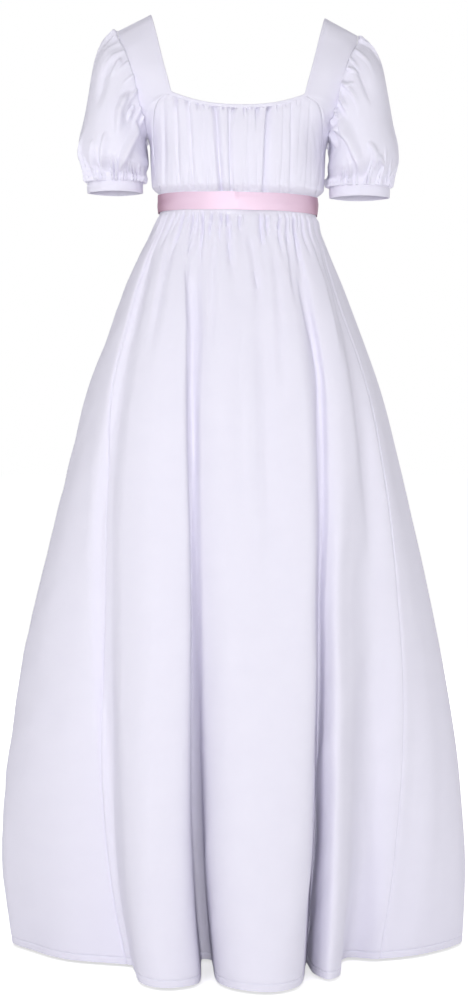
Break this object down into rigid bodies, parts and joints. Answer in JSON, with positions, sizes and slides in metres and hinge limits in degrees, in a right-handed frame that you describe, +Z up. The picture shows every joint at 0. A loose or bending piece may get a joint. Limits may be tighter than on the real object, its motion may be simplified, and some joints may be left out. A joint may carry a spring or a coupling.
{
  "type": "regency gown with a ribbon sash",
  "caption": "Empire-line regency gown in white cloth with a gathered bodice, square scoop neck, short puff sleeves, ribbon sash and full floor-length skirt.",
  "frame": {"origin": "midway between the two shoulder straps, at the level of their undersides on the shoulder seams, where the wearer holds the gown up", "axes": "+Z up, -Y towards the gown's front, +X towards the wearer's left"},
  "size_m": [0.713, 0.6584, 1.428],
  "materials": {
    "gown_cloth": "smooth matte woven cloth",
    "sash_ribbon": "satin ribbon with a soft sheen"
  },
  "bodies": {
    "root": {"bodice_front": "gown_cloth", "bodice_side_left": "gown_cloth", "bodice_side_right": "gown_cloth", "bodice_back": "gown_cloth", "neck_binding": "gown_cloth", "sleeve_left": "gown_cloth", "sleeve_right": "gown_cloth", "cuff_left": "gown_cloth", "cuff_right": "gown_cloth", "sash": "sash_ribbon", "skirt_front": "gown_cloth", "skirt_back": "gown_cloth"}
  },
  "joints": []
}
